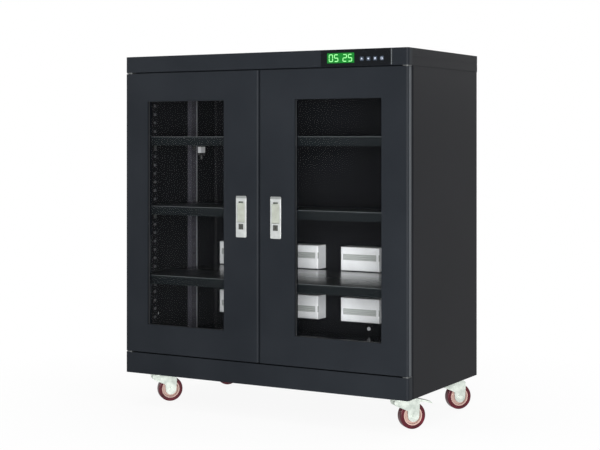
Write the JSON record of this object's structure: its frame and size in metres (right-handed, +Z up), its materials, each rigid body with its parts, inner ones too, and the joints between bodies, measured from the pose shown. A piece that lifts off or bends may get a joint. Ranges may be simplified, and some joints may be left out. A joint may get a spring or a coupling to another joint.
{
  "type": "desiccator cabinet",
  "caption": "Wide two-door dry storage cabinet on swivel castors, with glazed hinged doors, lock handles, shelves, wall drying units and a header controller.",
  "frame": {"origin": "on the floor under the middle of the cabinet", "axes": "+X to the viewer's right when facing the doors, +Y to the back, +Z up"},
  "size_m": [1.209, 0.624, 1.332],
  "materials": {
    "shell_paint": "satin dark grey powder coat",
    "inner_paint": "gloss near-black paint",
    "window": "clear toughened glass",
    "seal_rubber": "matt black",
    "lock_chrome": "satin chrome plated zinc",
    "zinc": "bright zinc plated",
    "white_plastic": "white moulded housing",
    "black_gloss": "gloss black front",
    "black_plastic": "matt black",
    "key_plastic": "translucent blue-grey keys",
    "wheel_core": "dark red nylon core",
    "tread": "dark red polyurethane tread"
  },
  "bodies": {
    "cabinet": {"back_panel": "shell_paint", "base_frame": "inner_paint", "castor_bolts": "zinc", "castor_plates": "zinc", "centre_post": "inner_paint", "control_housing": "black_plastic", "control_panel": "black_gloss", "drying_units_lower": "white_plastic", "drying_units_upper": "white_plastic", "floor_pan": "inner_paint", "header_panel": "shell_paint", "hinge_brackets": "zinc", "humidity_sensor": "white_plastic", "plinth": "shell_paint", "power_inlet": "black_plastic", "shelf_clips": "zinc", "shelf_lower": "inner_paint", "shelf_middle": "inner_paint", "shelf_posts": "inner_paint", "shelf_upper": "inner_paint", "side_panel_left": "shell_paint", "side_panel_right": "shell_paint", "top_cover": "shell_paint", "wall_plugs": "white_plastic"},
    "door_left": {"door_shell_left": "shell_paint", "door_liner_left": "inner_paint", "window_glass_left": "window", "glazing_seal_left": "seal_rubber", "door_seal_left": "seal_rubber", "lock_housing_left": "lock_chrome"},
    "handle_left": {"lock_paddle_left": "lock_chrome"},
    "lock_left": {"lock_barrel_left": "zinc", "lock_cam_left": "zinc"},
    "door_right": {"door_shell_right": "shell_paint", "door_liner_right": "inner_paint", "window_glass_right": "window", "glazing_seal_right": "seal_rubber", "door_seal_right": "seal_rubber", "lock_housing_right": "lock_chrome"},
    "handle_right": {"lock_paddle_right": "lock_chrome"},
    "lock_right": {"lock_barrel_right": "zinc", "lock_cam_right": "zinc"},
    "key_1": {"panel_key_1": "key_plastic"},
    "key_2": {"panel_key_2": "key_plastic"},
    "key_3": {"panel_key_3": "key_plastic"},
    "key_4": {"panel_key_4": "key_plastic"},
    "fork_front_left": {"castor_fork_front_left": "zinc"},
    "wheel_front_left": {"castor_wheel_front_left": "wheel_core", "castor_tyre_front_left": "tread"},
    "brake_front_left": {"castor_brake_front_left": "zinc"},
    "fork_front_right": {"castor_fork_front_right": "zinc"},
    "wheel_front_right": {"castor_wheel_front_right": "wheel_core", "castor_tyre_front_right": "tread"},
    "brake_front_right": {"castor_brake_front_right": "zinc"},
    "fork_rear_left": {"castor_fork_rear_left": "zinc"},
    "wheel_rear_left": {"castor_wheel_rear_left": "wheel_core", "castor_tyre_rear_left": "tread"},
    "fork_rear_right": {"castor_fork_rear_right": "zinc"},
    "wheel_rear_right": {"castor_wheel_rear_right": "wheel_core", "castor_tyre_rear_right": "tread"}
  },
  "joints": [
    {"name": "door_left_hinge", "type": "hinge", "parent": "cabinet", "child": "door_left", "pos_m": [-0.59, -0.298, 0.205], "axis": [0, 0, -1], "range_deg": [0, 110]},
    {"name": "handle_left_pull", "type": "hinge", "parent": "door_left", "child": "handle_left", "pos_m": [-0.0735, -0.3089, 0.7155], "axis": [1, 0, 0], "range_deg": [0, 35], "stiffness_Nm_per_rad": 0.08},
    {"name": "lock_left_turn", "type": "hinge", "parent": "door_left", "child": "lock_left", "pos_m": [-0.0735, -0.308, 0.697], "axis": [0, -1, 0], "range_deg": [0, 90]},
    {"name": "door_right_hinge", "type": "hinge", "parent": "cabinet", "child": "door_right", "pos_m": [0.59, -0.298, 0.205], "axis": [0, 0, 1], "range_deg": [0, 110]},
    {"name": "handle_right_pull", "type": "hinge", "parent": "door_right", "child": "handle_right", "pos_m": [0.0735, -0.3089, 0.7155], "axis": [1, 0, 0], "range_deg": [0, 35], "stiffness_Nm_per_rad": 0.08},
    {"name": "lock_right_turn", "type": "hinge", "parent": "door_right", "child": "lock_right", "pos_m": [0.0735, -0.308, 0.697], "axis": [0, 1, 0], "range_deg": [0, 90]},
    {"name": "key_1_press", "type": "slide", "parent": "cabinet", "child": "key_1", "axis": [0, 1, 0], "range_m": [0, 0.0008], "stiffness_N_per_m": 300},
    {"name": "key_2_press", "type": "slide", "parent": "cabinet", "child": "key_2", "axis": [0, 1, 0], "range_m": [0, 0.0008], "stiffness_N_per_m": 300},
    {"name": "key_3_press", "type": "slide", "parent": "cabinet", "child": "key_3", "axis": [0, 1, 0], "range_m": [0, 0.0008], "stiffness_N_per_m": 300},
    {"name": "key_4_press", "type": "slide", "parent": "cabinet", "child": "key_4", "axis": [0, 1, 0], "range_m": [0, 0.0008], "stiffness_N_per_m": 300},
    {"name": "front_left_swivel", "type": "hinge", "parent": "cabinet", "child": "fork_front_left", "pos_m": [-0.518, -0.205, 0.1097], "axis": [0, 0, 1], "continuous": true},
    {"name": "front_left_roll", "type": "hinge", "parent": "fork_front_left", "child": "wheel_front_left", "pos_m": [-0.48856, -0.1723, 0.0475], "axis": [-0.7431, 0.6691, 0], "continuous": true},
    {"name": "front_left_brake", "type": "hinge", "parent": "fork_front_left", "child": "brake_front_left", "pos_m": [-0.47919, -0.1619, 0.1], "axis": [-0.7431, 0.6691, 0], "range_deg": [0, 18]},
    {"name": "front_right_swivel", "type": "hinge", "parent": "cabinet", "child": "fork_front_right", "pos_m": [0.518, -0.205, 0.1097], "axis": [0, 0, 1], "continuous": true},
    {"name": "front_right_roll", "type": "hinge", "parent": "fork_front_right", "child": "wheel_front_right", "pos_m": [0.54744, -0.1723, 0.0475], "axis": [-0.7431, 0.6691, 0], "continuous": true},
    {"name": "front_right_brake", "type": "hinge", "parent": "fork_front_right", "child": "brake_front_right", "pos_m": [0.55681, -0.1619, 0.1], "axis": [-0.7431, 0.6691, 0], "range_deg": [0, 18]},
    {"name": "rear_left_swivel", "type": "hinge", "parent": "cabinet", "child": "fork_rear_left", "pos_m": [-0.518, 0.205, 0.1097], "axis": [0, 0, 1], "continuous": true},
    {"name": "rear_left_roll", "type": "hinge", "parent": "fork_rear_left", "child": "wheel_rear_left", "pos_m": [-0.48856, 0.2377, 0.0475], "axis": [-0.7431, 0.6691, 0], "continuous": true},
    {"name": "rear_right_swivel", "type": "hinge", "parent": "cabinet", "child": "fork_rear_right", "pos_m": [0.518, 0.205, 0.1097], "axis": [0, 0, 1], "continuous": true},
    {"name": "rear_right_roll", "type": "hinge", "parent": "fork_rear_right", "child": "wheel_rear_right", "pos_m": [0.54744, 0.2377, 0.0475], "axis": [-0.7431, 0.6691, 0], "continuous": true}
  ]
}
